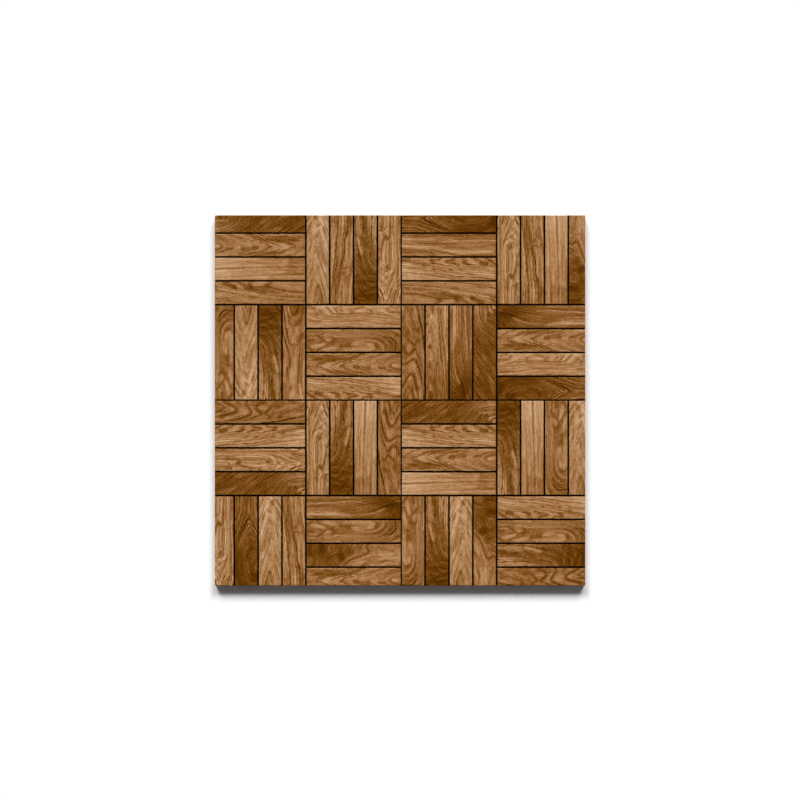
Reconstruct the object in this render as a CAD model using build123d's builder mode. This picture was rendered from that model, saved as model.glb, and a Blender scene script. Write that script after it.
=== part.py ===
"""A pressed and fired ceramic floor tile whose face imitates mosaic parquet.

The tile is one piece of clay. Its face is pressed into wooden-finger shapes: blocks of four fingers,
each block turned a quarter turn from its neighbours, with a narrow sunk joint round every finger.
The back carries a waffle of keying pockets that the bed of adhesive fills.

Frame: millimetres, origin at the middle of the back, +Z up out of the face, +Y towards the top edge
of the tile as it is seen from above.
"""

from build123d import *

import os

# The tile
tile_side = 396.0
tile_thickness = 9.0
corner_radius = 1.0
face_arris_radius = 0.8
back_chamfer = 0.8

# The parquet pattern pressed into the face
finger_pitch = 25.5
fingers_per_block = 4
blocks_per_side = 4
pattern_shift_x = 1.3
pattern_shift_y = 0.3

# The sunk joints between the fingers: their width at the face and at their floor
joint_depth = 0.6
joint_widths = (1.4, 0.8)
middle_joint_widths = (0.9, 0.4)

# The waffle of keying pockets in the back
pockets_per_side = 14
pocket_pitch = 27.0
pocket_width = 22.0
pocket_depth = 0.9
pocket_draft = 35.0

# Worked out from the above
block_pitch = finger_pitch * fingers_per_block
half_side = tile_side / 2


def line_of_joint(count, shift):
    """Where the joint line that many fingers above the pattern's low side crosses the face."""
    place = count * finger_pitch - blocks_per_side * block_pitch / 2 + shift
    return max(-half_side, min(half_side, place))


def joints_between_blocks():
    """The joints that run right across the face, each as (start, end, widths)."""
    for block in range(1, blocks_per_side):
        widths = middle_joint_widths if block == blocks_per_side / 2 else joint_widths
        x = line_of_joint(block * fingers_per_block, pattern_shift_x)
        y = line_of_joint(block * fingers_per_block, pattern_shift_y)
        yield (x, -half_side), (x, half_side), widths
        yield (-half_side, y), (half_side, y), widths


def joints_inside_blocks():
    """The three joints of each block, along its fingers, which lie along X in every other block."""
    for column in range(blocks_per_side):
        for row in range(blocks_per_side):
            west = column * fingers_per_block
            south = row * fingers_per_block
            east, north = west + fingers_per_block, south + fingers_per_block
            for joint in range(1, fingers_per_block):
                if (column + row) % 2 == 1:
                    y = line_of_joint(south + joint, pattern_shift_y)
                    start = (line_of_joint(west, pattern_shift_x), y)
                    end = (line_of_joint(east, pattern_shift_x), y)
                else:
                    x = line_of_joint(west + joint, pattern_shift_x)
                    start = (x, line_of_joint(south, pattern_shift_y))
                    end = (x, line_of_joint(north, pattern_shift_y))
                yield start, end, joint_widths


with BuildPart() as tile:
    # The pressed slab, with its eased edges
    with BuildSketch(Plane.XY):
        RectangleRounded(tile_side, tile_side, corner_radius)
    extrude(amount=tile_thickness)
    fillet(tile.faces().sort_by(Axis.Z)[-1].edges(), radius=face_arris_radius)
    chamfer(tile.faces().sort_by(Axis.Z)[0].edges(), length=back_chamfer)

    # The sunk joints, each a straight channel with sloping walls
    for start, end, (face_width, floor_width) in (*joints_between_blocks(), *joints_inside_blocks()):
        low = Vector(*start, tile_thickness)
        along = Vector(*end, tile_thickness) - low
        across = Vector(0, 0, 1).cross(along).normalized()
        with BuildSketch(Plane(origin=low, x_dir=across, z_dir=along.normalized())):
            with BuildLine():
                # With its X across the joint and its Z along it, the section's own Y points up
                Polyline(
                    (-face_width / 2, 0),
                    (-floor_width / 2, -joint_depth),
                    (floor_width / 2, -joint_depth),
                    (face_width / 2, 0),
                    close=True,
                )
            make_face()
        extrude(amount=along.length, mode=Mode.SUBTRACT)

    # The keying pockets, cut up into the back between the ribs that the tile stands on
    with BuildSketch(Plane.XY):
        with GridLocations(pocket_pitch, pocket_pitch, pockets_per_side, pockets_per_side):
            Rectangle(pocket_width, pocket_width)
    extrude(amount=pocket_depth, taper=pocket_draft, mode=Mode.SUBTRACT)

tile.part.label = "tile"

os.makedirs("parts", exist_ok=True)
export_step(tile.part, "parts/tile.step")

box = tile.part.bounding_box()
print("size in mm", round(box.size.X, 3), round(box.size.Y, 3), round(box.size.Z, 3))
print("volume in cubic mm", round(tile.part.volume))
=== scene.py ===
from math import radians, tan

import bmesh
import bpy
import numpy as np
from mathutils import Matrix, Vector


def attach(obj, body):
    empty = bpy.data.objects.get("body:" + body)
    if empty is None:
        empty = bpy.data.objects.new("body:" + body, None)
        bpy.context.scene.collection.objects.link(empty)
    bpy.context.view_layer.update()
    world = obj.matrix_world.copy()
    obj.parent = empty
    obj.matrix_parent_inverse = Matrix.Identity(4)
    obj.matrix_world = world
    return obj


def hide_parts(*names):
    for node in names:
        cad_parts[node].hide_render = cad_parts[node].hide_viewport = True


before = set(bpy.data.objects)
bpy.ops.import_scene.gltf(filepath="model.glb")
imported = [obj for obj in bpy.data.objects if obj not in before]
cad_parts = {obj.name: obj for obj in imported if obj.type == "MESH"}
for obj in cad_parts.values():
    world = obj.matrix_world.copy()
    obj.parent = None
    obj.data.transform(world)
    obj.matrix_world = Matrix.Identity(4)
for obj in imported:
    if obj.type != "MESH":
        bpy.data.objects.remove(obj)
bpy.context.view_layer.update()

# The pressed clay body
# The whole tile is one piece of clay powder, pressed in a die. The face plate of the die leaves
# sixty-four flat fingers with sunk joints between them, laid as basket-weave parquet, and the
# back plate leaves a waffle of shallow pockets that the adhesive keys into.
mm = 0.001
near_enough = 0.01 * mm
tile_side = 396 * mm
tile_thickness = 9 * mm
half_side = tile_side / 2
back_chamfer = 0.8 * mm
corner_radius = 1 * mm

finger_width = 25.5 * mm
fingers_per_block = 4
finger_length = finger_width * fingers_per_block
blocks_per_side = 4
pattern_shift_east = 1.3 * mm
pattern_shift_north = 0.3 * mm
pattern_west = pattern_shift_east - blocks_per_side * finger_length / 2
pattern_north = pattern_shift_north + blocks_per_side * finger_length / 2

joint_depth = 0.6 * mm
joint_floor_width = 0.8 * mm
middle_joint_floor_width = 0.35 * mm
joint_floor = tile_thickness - joint_depth
cuts_per_square = 15
shoulder_steps = ((0.14 * mm, 0.45 * mm), (0.16 * mm, 0.15 * mm))

pockets_per_side = 14
pocket_pitch = 27 * mm
pocket_width = 22 * mm
pocket_depth = 0.9 * mm
pocket_draft = pocket_depth * tan(radians(35))
pocket_rim_bevel = 0.2 * mm
outermost_pocket_rim = half_side - 3 * mm

bpy.ops.object.select_all(action="DESELECT")
bpy.ops.mesh.primitive_cube_add(
    size=1, location=(0, 0, joint_floor / 2), scale=(tile_side, tile_side, joint_floor))
tile = bpy.context.object
tile.name = "glazed_tile"
bpy.ops.object.transform_apply(location=True, rotation=True, scale=True)
bpy.ops.object.mode_set(mode="EDIT")


def pick(kind, wanted):
    """Selects the faces or edges that are wanted, and nothing else."""
    bpy.ops.mesh.select_mode(type=kind)
    bpy.ops.mesh.select_all(action="DESELECT")
    clay = bmesh.from_edit_mesh(tile.data)
    for part in clay.faces if kind == "FACE" else clay.edges:
        if wanted(part):
            part.select_set(True)
    bmesh.update_edit_mesh(tile.data)


def cut_across(axis, place, wanted):
    """Cuts the wanted faces along a line at that place on the X axis (0) or the Y axis (1)."""
    pick("FACE", wanted)
    where = [0, 0, 0]
    direction = [0, 0, 0]
    where[axis] = place
    direction[axis] = 1
    bpy.ops.mesh.bisect(plane_co=where, plane_no=direction)


def at_height(edge, height):
    return all(abs(corner.co.z - height) < near_enough for corner in edge.verts)


def on_back(face):
    return face.normal.z < -0.99 and face.calc_center_median().z < near_enough


def on_face(face):
    return face.normal.z > 0.99 and face.calc_center_median().z > joint_floor - near_enough


pick("EDGE", lambda edge: at_height(edge, 0))
bpy.ops.mesh.bevel(offset=back_chamfer, segments=1, affect="EDGES")

# The pockets: the ribs are cut across the back both ways, then each pocket is sunk with its draft.
pocket_centres = [(count - (pockets_per_side - 1) / 2) * pocket_pitch for count in range(pockets_per_side)]
for axis in (0, 1):
    for centre in pocket_centres:
        cut_across(axis, centre - pocket_width / 2, on_back)
        cut_across(axis, centre + pocket_width / 2, on_back)


def is_pocket(face):
    middle = face.calc_center_median()
    off_centre = [min(abs(place - centre) for centre in pocket_centres) for place in middle.xy]
    return on_back(face) and max(off_centre) < 0.1 * mm


def is_pocket_rim(edge):
    """An edge between a rib and a pocket's sloping wall, and not the chamfer round the back."""
    meets_wall = len(edge.link_faces) == 2 and any(face.normal.z > -0.99 for face in edge.link_faces)
    reach = max(abs(place) for corner in edge.verts for place in corner.co.xy)
    return at_height(edge, 0) and meets_wall and reach < outermost_pocket_rim


pick("FACE", is_pocket)
bpy.ops.mesh.inset(thickness=pocket_draft, depth=-pocket_depth, use_individual=True)
pick("EDGE", is_pocket_rim)
bpy.ops.mesh.bevel(offset=pocket_rim_bevel, segments=1, affect="EDGES")


# The face: the floors of the joints are cut out of it as narrow strips, right across between
# the blocks, and then three in each block along its fingers.
def block_joint(count, axis):
    if axis == 0:
        return pattern_west + count * finger_length
    return pattern_north - count * finger_length


for axis in (0, 1):
    for count in range(1, blocks_per_side):
        half_floor = (middle_joint_floor_width if count == 2 else joint_floor_width) / 2
        for side in (-1, 1):
            cut_across(axis, block_joint(count, axis) + side * half_floor, on_face)


def in_block(face, column, row):
    middle = face.calc_center_median()
    west = block_joint(column, 0) + joint_floor_width
    east = block_joint(column + 1, 0) - joint_floor_width
    south = block_joint(row + 1, 1) + joint_floor_width
    north = block_joint(row, 1) - joint_floor_width
    return on_face(face) and west < middle.x < east and south < middle.y < north


def is_finger(face):
    """A finger's own face, and not the floor of a joint."""
    middle = face.calc_center_median()
    across = [(middle.x - pattern_west) / finger_width, (pattern_north - middle.y) / finger_width]
    column, row = (int(place / fingers_per_block) for place in across)
    along_x = (column + row) % 2 == 0
    clear = (joint_floor_width / 2 + 0.05 * mm) / finger_width
    count = across[1] if along_x else across[0]
    end = (across[0] if along_x else across[1]) / fingers_per_block
    clear_of_sides = abs(count - round(count)) > clear
    clear_of_ends = abs(end - round(end)) * fingers_per_block > clear
    return on_face(face) and clear_of_sides and clear_of_ends


def cut_block(column, row, across_fingers, offset, wanted):
    """Cuts one block along its fingers, or across them, that far from its first side."""
    lies_along_x = (column + row) % 2 == 0
    if lies_along_x == across_fingers:
        cut_across(0, block_joint(column, 0) + offset, wanted)
    else:
        cut_across(1, block_joint(row, 1) - offset, wanted)


for column in range(blocks_per_side):
    for row in range(blocks_per_side):
        for count in range(1, fingers_per_block):
            for side in (-1, 1):
                offset = count * finger_width + side * joint_floor_width / 2
                cut_block(column, row, False, offset, lambda face: in_block(face, column, row))
        for count in range(1, fingers_per_block):
            cut_block(column, row, True, count * finger_width,
                      lambda face: in_block(face, column, row) and is_finger(face))

# Each finger is four squares long. The squares are divided finely, so that they can carry the
# relief and the print. Then the fingers are raised above the joints in two steps, which leaves
# rounded shoulders.
pick("FACE", is_finger)
bpy.ops.mesh.subdivide(number_cuts=cuts_per_square)
pick("FACE", is_finger)
for step_in, step_up in shoulder_steps:
    bpy.ops.mesh.inset(thickness=step_in, depth=step_up, use_boundary=True, use_individual=False)

# The four upright corners are eased: a narrow strip is cut beside each on both walls.
for axis in (0, 1):
    for side in (-1, 1):
        cut_across(axis, side * (half_side - corner_radius), lambda face: abs(face.normal[1 - axis]) > 0.99)
bpy.ops.object.mode_set(mode="OBJECT")

corners = tile.data.vertices
places = np.empty(len(corners) * 3)
corners.foreach_get("co", places)
places = places.reshape(-1, 3)
past_arc = np.abs(places[:, :2]) - (half_side - corner_radius)
reach = np.linalg.norm(past_arc, axis=1)
in_corner = (past_arc > 0).all(axis=1) & (reach > corner_radius)
eased = past_arc[in_corner] * (corner_radius / reach[in_corner])[:, None]
places[in_corner, :2] = np.sign(places[in_corner, :2]) * (half_side - corner_radius + eased)
corners.foreach_set("co", places.ravel())


# The print
# The face is printed with eighteen designs of sawn boards, laid over the fingers and turned or
# mirrored where one comes back. Each is drawn here by its growth rings and brush strokes.
# "ends" is a board's brightness at its two ends (0 black to 255 white). A ring is its number and
# the points along it, and a stroke its brightness, its width and the points along it. Points are
# millimetres along the board (0 to 102) and across it (0 to 25.5). "rings_shown" thins the rings
# out, and "vivid" makes the fine figure between them stronger or weaker.
board_length = 102
board_width = 25.5
boards = {
    "dark_arcs": dict(ends=(90, 77), rings_shown=0.62, vivid=1.15, rings=[
        (-4, (0, 9), (7, 7), (9.5, 0)), (0, (0, 13.5), (11, 12), (17, 7), (19.5, 0)),
        (6, (0, 18), (15, 16.5), (24, 10), (30, 0)), (12, (0, 23), (20, 20), (32, 11), (41, 0)),
        (18, (20, 25), (38, 17), (50, 8), (58, 0)), (24, (42, 25), (58, 15), (76, 2)),
        (30, (62, 25), (80, 14), (100, 3)), (35, (85, 25), (102, 15)),
    ], strokes=[
        (122, 9, (0, 3), (6, 6)), (120, 2.4, (1, 12.6), (18, 12)), (112, 9, (1, 20), (12, 21)),
        (98, 8, (12, 20), (22, 22)), (68, 3, (9, 0), (10, 4)), (60, 3, (9, 8), (12, 9)),
        (88, 5, (14, 5), (15, 1)), (74, 5, (18, 3), (17, 9)), (68, 12, (46, 6), (50, 13)),
        (96, 3, (53, 15), (60, 11)), (94, 4, (77, 7), (92, 4)), (70, 7, (80, 12), (95, 10)),
        (66, 6, (74, 18), (86, 18)), (92, 3, (68, 4), (76, 1)), (88, 4, (60, 23), (75, 21)),
        (64, 4, (38, 22), (46, 17)),
    ]),
    "arrowheads": dict(ends=(116, 118), vivid=0.9, rings=[
        (1, (102, 7), (94.6, 7.8), (89.3, 11.5), (94, 15), (102, 16.5)),
        (2, (102, 4), (88, 6.5), (77, 9.8), (88, 16), (102, 19.5)),
        (3, (102, 2), (82, 4.5), (65, 10.5), (78, 17.5), (92, 22)),
        (4, (80, 2.2), (62, 6), (50.5, 10.5), (64, 17.5), (80, 23.5)),
        (5, (72, 1), (53, 5), (38, 10.5), (47.7, 16.5), (58, 21.5), (64, 25)),
        (6, (50, 1.5), (36, 5.5), (26, 11), (42, 17.2), (50, 22), (54, 25)),
        (7, (36, 1), (22, 6), (14, 10), (28, 17.5), (42, 21.5), (48, 25)), (8, (20, 1), (8, 6), (2, 10)),
        (8, (0, 17.5), (14, 20.5), (30, 25)),
    ], strokes=[
        (138, 7, (3, 3.5), (8, 3)), (128, 6, (14, 4), (20, 5)), (135, 6, (17, 10), (32, 11)),
        (100, 2.5, (5, 9), (15, 10)), (92, 2, (12, 10), (16, 9.5)), (84, 2.2, (36, 10.3), (40, 11)),
        (136, 2.5, (22, 8), (36, 7.6)), (130, 4, (34, 13), (38, 15)), (98, 4, (33, 4.5), (50, 4), (71, 4)),
        (88, 2.5, (46, 5), (62, 3.6)), (134, 2.5, (45, 12), (51, 8), (66, 6), (88, 3)),
        (138, 4, (45, 13.5), (50, 14.5), (62, 14)), (80, 4, (52, 10.5), (57, 10)),
        (100, 3, (60, 9.4), (70, 8)), (134, 3, (58, 16), (66, 18)), (132, 3, (70, 11), (80, 10.5)),
        (126, 4, (80, 16), (86, 18)), (94, 2.5, (101, 7), (92, 9), (89.5, 11), (93, 14), (101, 15.5)),
        (145, 3.2, (92.5, 12), (97, 11.4)), (96, 2.5, (78, 9.2), (86, 9.4)), (140, 4, (86, 3), (100, 2.5)),
        (95, 2, (88, 5.6), (101, 4.5)), (100, 4, (2, 21.5), (40, 21.5)),
        (84, 3.2, (8, 17.6), (30, 18), (46, 18.6), (55, 22)), (74, 3, (9, 17.8), (17, 18.2)),
        (134, 2.2, (38, 19.8), (46, 21.5), (54, 24)), (90, 2.5, (50, 20), (60, 24.5)),
        (142, 2, (2, 24.6), (42, 24.4)), (140, 2, (70, 24.4), (98, 24.6)),
    ]),
    "pale_straight": dict(ends=(148, 112), vivid=0.75, rings_shown=0.5, rings=[
        (1, (0, 2.8), (50, 3.2), (102, 5)), (2, (0, 6), (50, 6.4), (102, 8)),
        (3, (0, 9.2), (50, 9.6), (102, 11)), (4, (0, 12.7), (50, 12.6), (102, 13.8)),
        (5, (0, 15.8), (102, 16.4)), (6, (0, 19), (102, 19)), (7, (0, 22), (102, 22)),
        (8, (0, 25), (102, 25)),
    ], strokes=[
        (158, 6, (2, 17), (20, 18)), (152, 4, (2, 8), (30, 7)), (108, 2, (2, 12.8), (9, 12.6)),
        (122, 2, (9, 12.2), (40, 12.4)), (150, 2, (2, 1.8), (48, 2)), (138, 3, (50, 3), (66, 4), (82, 6)),
        (104, 2.4, (53, 2.6), (80, 2.6)), (100, 5, (86, 3), (100, 3)), (112, 4, (62, 10.5), (74, 11.5)),
        (98, 4.5, (83, 9), (92, 12)), (104, 3, (72, 13), (76, 13)), (140, 3, (60, 15), (80, 16)),
        (108, 2.5, (80, 17.5), (95, 18.5)), (140, 3, (30, 20), (60, 21)), (128, 5, (70, 22), (100, 23)),
        (146, 3, (28, 4), (30, 7)),
    ]),
    "low_hooks": dict(ends=(112, 118), rings=[
        (0.5, (0, 18), (12, 20), (20, 24.5)), (0.4, (2, 25)),
        (1, (0, 13.2), (13, 13.5), (22, 14.6), (30, 16.2), (37, 18), (43, 19.4), (41, 21.6), (39, 24.6)),
        (2, (0, 11.6), (14, 11.8), (27.5, 12.6), (36, 15), (45, 17.4), (53, 18.4), (59, 19.2),
         (61.5, 21.8), (59.5, 24.8)),
        (3, (0, 10), (20, 10.2), (36, 11.6), (43, 13), (50, 15.4), (58, 16.8), (63.5, 18), (66.5, 20.6),
         (70, 22.6), (73, 25)),
        (4, (0, 8.5), (30, 9.2), (50, 11.8), (64, 14.8), (73, 17.4), (79, 20.4), (86, 24.6)),
        (5, (0, 7), (40, 8.8), (62, 11.6), (80, 15.6), (90, 18), (97, 20.4), (99, 24.5)),
        (6, (0, 5.3), (50, 8), (75, 11.6), (90, 14.4), (102, 17.5)),
        (7, (0, 3.4), (50, 5.8), (80, 9), (102, 13)), (8, (0, 1.5), (50, 3.4), (102, 8.6)),
        (9, (50, 1), (102, 5)),
    ], strokes=[
        (112, 9, (3, 4), (10, 8)), (136, 1.8, (2, 11.7), (20, 12), (34, 14)),
        (82, 2, (0, 13.4), (14, 13.6), (27, 15.6), (38, 18.3)), (118, 8, (6, 20), (26, 20.5)),
        (124, 4, (24, 21), (34, 22)), (74, 2.6, (38, 18.8), (48, 19)), (80, 2.5, (44, 19.4), (40, 22)),
        (130, 4, (44, 23.6), (55, 22)), (90, 2, (28, 12.2), (38, 14.2)),
        (80, 2.2, (43, 13.4), (51, 15.8), (58, 16.8), (63, 17.8), (66, 20.4), (72, 24.6)),
        (76, 2.6, (57, 19), (60.4, 20), (61.5, 22.6)), (128, 2.2, (66, 18.4), (72, 20.4)),
        (60, 4.6, (75.5, 17.5), (79, 19.5)), (82, 4, (80, 20), (88, 23.5)),
        (140, 2, (52, 11), (70, 14), (86, 17), (95, 20.5)), (84, 3.5, (96, 18), (100.5, 22)),
        (136, 4, (90, 10), (102, 11)), (130, 4, (95, 2), (102, 3)), (96, 2.5, (52, 7.5), (62, 8.5)),
        (104, 4, (20, 6), (26, 7)),
    ]),
    "chevrons": dict(ends=(126, 140), rings=[
        (0, (0, 10), (6, 12), (0, 14)), (1, (0, 7), (12, 8.3), (21, 12), (12, 15.3), (0, 17.5)),
        (2, (4, 3.5), (20, 6.5), (32, 10), (40, 13), (36, 15.5), (26, 19.5), (12, 23)),
        (3, (25, 3), (42, 8), (52, 12), (58.5, 14.3), (50, 16.8), (36, 20), (26, 24)),
        (4, (45, 2), (60, 6.5), (69, 9), (75, 12.3), (71, 15.8), (58, 19), (42, 23.5)),
        (5, (60, 1), (72, 4), (81, 7.5), (87, 11.5), (83.5, 15.5), (78, 19.5), (58, 24)),
        (6, (76, 0.5), (86, 4), (94, 7), (99, 10.5), (94, 15.5), (88, 20), (76, 24.5)),
        (7, (92, 1), (102, 5.5)), (7, (102, 17), (96, 21.5), (88, 25)),
    ], strokes=[
        (114, 6, (3, 12), (13, 12)),
        (96, 2, (4, 7.8), (13, 8), (20, 10.6), (21.4, 12.4), (16, 14.6), (3, 15.8)),
        (86, 2.4, (18.5, 12.8), (20.5, 11.6)), (140, 3, (8, 6.5), (22, 8), (32, 11)),
        (112, 2.5, (38, 11), (41, 13)), (144, 3, (46, 12), (56, 15)),
        (108, 2.4, (50, 11.6), (58, 13), (56, 15.5)), (104, 2.5, (62, 12), (61, 16)),
        (148, 5, (36, 5), (40, 6)), (150, 3, (56, 3.5), (70, 4.5)), (112, 2.5, (72, 9), (78, 12), (72, 15)),
        (158, 3.4, (70, 6.8), (84, 10.4), (79, 14.6), (77, 17.5)), (110, 2, (84, 7), (87, 10), (83, 14)),
        (160, 3.2, (84, 8), (96, 10.4), (90, 13)), (110, 2.2, (76, 4.2), (82, 5.6)),
        (152, 2.5, (86, 4.6), (101, 6)), (100, 4.4, (91.5, 14), (97, 16.5)), (150, 3, (84, 15), (80, 18.5)),
        (118, 2.5, (24, 16), (38, 19), (26, 20)), (116, 2.2, (60, 20.5), (96, 20.6)),
        (148, 4, (99, 14), (101, 16)), (122, 4, (2, 20), (20, 19)),
    ]),
    "dark_streak": dict(ends=(118, 122), rings=[
        (0, (75, 0.5), (102, 3.5)), (1, (50, 0.5), (65, 2.9), (80, 5.5), (102, 8.3)),
        (2, (0, 3), (30, 4.5), (45, 6), (60, 9.5), (72, 11), (85, 12.5), (102, 13.5)),
        (3, (0, 6), (24, 6.8), (32, 9.5), (48, 10.8), (60, 13.5), (70, 15.2), (80, 16.8), (102, 18)),
        (4, (0, 9.5), (30, 12), (50, 14), (75, 18.5), (102, 21.5)),
        (5, (0, 13), (30, 14.8), (60, 18), (90, 22)), (6, (0, 17), (30, 18.2), (60, 21.5), (85, 24.5)),
        (7, (0, 21), (40, 23.5)),
    ], strokes=[
        (96, 4, (2, 3), (22, 3.6)), (124, 3, (20, 2), (44, 2.4)), (98, 2.5, (35, 4.2), (47, 5.2)),
        (130, 4, (32, 7), (58, 9)), (92, 2.5, (55, 1.5), (68, 3.4), (84, 6.4)),
        (86, 2.6, (61, 6), (64, 10.4)), (84, 3, (67, 9), (70, 11)), (88, 2.4, (71, 7.4), (78, 9)),
        (128, 4, (84, 9), (100, 10)), (126, 3, (74, 2), (98, 3)), (78, 2.6, (0, 5.8), (24, 6.4)),
        (60, 3.2, (23, 6.8), (28, 7.8)),
        (78, 2.3, (28, 8.2), (35, 10), (50, 11), (60, 13.4), (74, 16), (88, 17.4), (102, 18.6)),
        (136, 2.5, (20, 23), (45, 22.4), (74, 24)), (124, 4, (14, 19), (30, 20)),
        (96, 2, (6, 18.4), (20, 19)), (126, 3, (34, 13), (52, 16.4)), (106, 3, (60, 20), (84, 22)),
        (120, 4, (84, 14), (100, 16)),
    ]),
    "dark_end": dict(ends=(122, 68), rings_shown=0.6, vivid=1.2, rings=[
        (11, (0, 24), (20, 24.5)), (8, (0, 17), (24, 17.5), (40, 20), (56, 24.5)),
        (4, (0, 9.5), (24, 8.5), (36, 12.5), (52, 17), (64, 25)),
        (0, (0, 2), (28, 3), (46, 7), (60, 11), (70, 17), (73, 25)),
        (-3, (44, 0), (58, 5), (70, 10), (77, 18), (78, 25)),
        (-8, (62, 0), (66, 4), (80, 9), (86, 16), (86, 25)),
        (-14, (75, 0), (79, 4), (92, 9), (98, 17), (96, 25)), (-18, (92, 0), (102, 8)),
    ], strokes=[
        (118, 5, (2, 3), (26, 4)), (68, 3.6, (1, 9.4), (12, 9.6)), (90, 4, (12, 11), (26, 12)),
        (138, 3.6, (1, 16.6), (19, 16.4)), (124, 2.4, (18, 16.8), (38, 18)),
        (120, 4, (2, 22.5), (36, 22.6)), (96, 2, (2, 13.8), (30, 14)), (126, 5.6, (28, 3.4), (38, 4.8)),
        (124, 6, (41, 4.5), (46, 8.5)), (88, 2.4, (27.5, 1), (28.5, 7)),
        (74, 3.4, (30, 9), (36, 12.4), (42, 14.4)), (78, 3, (27, 18.4), (42, 19.4), (58, 21.6)),
        (112, 2.4, (40, 16), (56, 18.5), (63, 21.5), (66, 24.6)), (80, 2.4, (46, 12), (56, 16.4), (65, 21)),
        (84, 12, (52, 12), (58, 13)), (104, 2.5, (50, 2), (54, 7)), (84, 3, (49, 4), (52, 9)),
        (100, 3, (57, 3), (58, 8)), (70, 14, (70, 15), (70, 21)), (60, 17, (80, 10), (80, 20)),
        (56, 15, (92, 6), (92, 20)), (94, 2.2, (69, 1), (64, 4), (68, 7)),
        (86, 2.2, (72, 3), (73, 9), (75, 15)), (80, 2.4, (83, 1), (81.5, 6), (84, 10), (83, 17)),
        (54, 4, (77.5, 13), (77, 20)), (54, 6, (92, 12), (91, 18)), (72, 3, (100, 4), (101, 20)),
        (58, 3, (70, 3), (72, 5)), (76, 1.8, (89, 1), (87.5, 7), (90, 13), (88.5, 24)),
        (82, 1.8, (78, 14), (80.5, 19), (80, 25)), (72, 1.8, (96, 2), (95, 10), (97, 18), (94, 25)),
        (84, 1.8, (70, 9), (72, 15), (72, 24)),
    ]),
    "boat_eye": dict(ends=(130, 128), rings=[
        (0, (48, 9), (60, 9.5), (68, 10)),
        (1, (41, 10.8), (50, 12.6), (68, 13), (73, 10.5), (71.5, 8), (62, 5.2), (50, 4.4), (44, 6),
         (41, 9)),
        (2, (34, 8), (36, 12.5), (46, 15), (64, 15.3), (80, 13.8), (102, 13.5)),
        (2, (34, 6), (40, 3.2), (48, 1.2)), (2, (60, 1.5), (72, 4), (80, 7), (90, 9.5), (102, 10.5)),
        (3, (24, 6), (27, 10), (34, 15), (46, 17.3), (62, 17), (80, 17), (102, 16.8)),
        (3, (24, 4), (32, 1.5)), (3, (72, 0.8), (79, 4.5), (84, 7), (102, 8)),
        (4, (10, 8.5), (18, 11), (26, 15), (38, 18.8), (60, 19.2), (102, 19.6)),
        (4, (10, 8), (18, 4.5), (26, 1)), (4, (81, 1.2), (80.5, 3), (86, 5.2), (102, 5.5)),
        (5, (0, 9), (8, 12.5), (20, 17), (34, 21.3), (60, 21.6), (102, 22)), (5, (0, 8), (8, 5.5), (16, 2)),
        (6, (0, 14.8), (12, 17), (24, 21.5), (34, 23.8), (102, 24.5)), (7, (0, 18.5), (14, 22), (24, 25)),
    ], strokes=[
        (142, 3.4, (13, 6.6), (24, 6.6)), (136, 3, (2, 9.6), (12, 9.4)), (100, 2.2, (11.5, 6.4), (13.5, 8)),
        (152, 2.4, (27, 6.5), (31.5, 5.2)), (150, 2.4, (24.5, 9), (28, 8.8)),
        (110, 2, (29, 8), (30.5, 10.5)), (154, 3, (33, 8.6), (33.4, 13), (37, 16)),
        (140, 2, (20, 3), (34, 3.4)), (140, 3, (36, 2), (44, 2)), (140, 2.6, (38, 7), (62, 7)),
        (122, 4, (45, 10.5), (66, 10)), (80, 3, (38.6, 10.8), (42, 10.8)), (104, 1.8, (34, 7.5), (37, 10)),
        (102, 2, (36, 13), (54, 13.6), (68, 13.2)), (92, 2.2, (54, 3.4), (66, 5.4), (78, 8)),
        (78, 2.6, (73, 8), (71.5, 11)), (88, 2.4, (68, 10), (75, 9)),
        (138, 3, (70, 2.8), (76, 3.6), (80, 7)), (92, 2.2, (88, 3), (79, 4.4), (84, 6.8)),
        (128, 3, (86, 5), (96, 5)), (140, 3, (76, 10), (101, 11)),
        (100, 2, (70, 12.8), (80, 13.8), (101, 14.4)), (142, 2, (80, 17), (101, 17)),
        (98, 2, (80, 14.6), (84, 15.4)), (106, 2, (4, 14.6), (11, 13.6), (18, 16)),
        (116, 3, (8, 16), (14, 17)), (138, 2.2, (1, 16.6), (12, 18), (21, 21)),
        (106, 2, (20, 21.4), (52, 21.6), (101, 21.4)), (140, 2, (2, 23.4), (40, 23.4)),
        (112, 3, (80, 24), (101, 23.4)), (84, 3, (48.6, 2.6), (51, 3.2)), (88, 2.6, (59, 2), (60, 4)),
        (98, 1.8, (8, 22), (30, 22.2), (50, 22)), (104, 1.8, (0, 18.6), (8, 18.2), (15, 19.8)),
        (140, 2.6, (38, 16.6), (64, 17.4)),
    ]),
    "knot": dict(ends=(100, 66), rings_shown=0.6, rings=[
        (0, (75, 1.5), (77, 1)), (3, (67, 0), (70, 5), (78, 6), (84, 1)),
        (7, (59, 0), (62, 8), (75, 11.5), (87, 8), (91, 0)),
        (12, (50, 1), (54, 10), (65, 15.5), (80, 16), (92, 11), (98, 2)),
        (17, (43, 0), (36, 6), (32, 9.5), (40, 14), (50, 18.5), (70, 21), (90, 18), (102, 12)),
        (20, (38, 0), (24.5, 9.5), (36, 16), (45, 20), (60, 24.5)), (20.6, (16, 9.6)), (21, (4, 9.5)),
        (22, (0, 7), (14, 6.6), (24, 4.6), (31, 1)), (22, (0, 12), (16, 12.8), (30, 17.6), (45, 24.6)),
        (24, (0, 4), (16, 3)), (24, (0, 17), (20, 19), (32, 25)),
    ], strokes=[
        (106, 3, (2, 3.6), (24, 2.4)), (86, 2.2, (2, 7), (15, 6.8)), (102, 3, (2, 10.4), (18, 10.6)),
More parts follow.
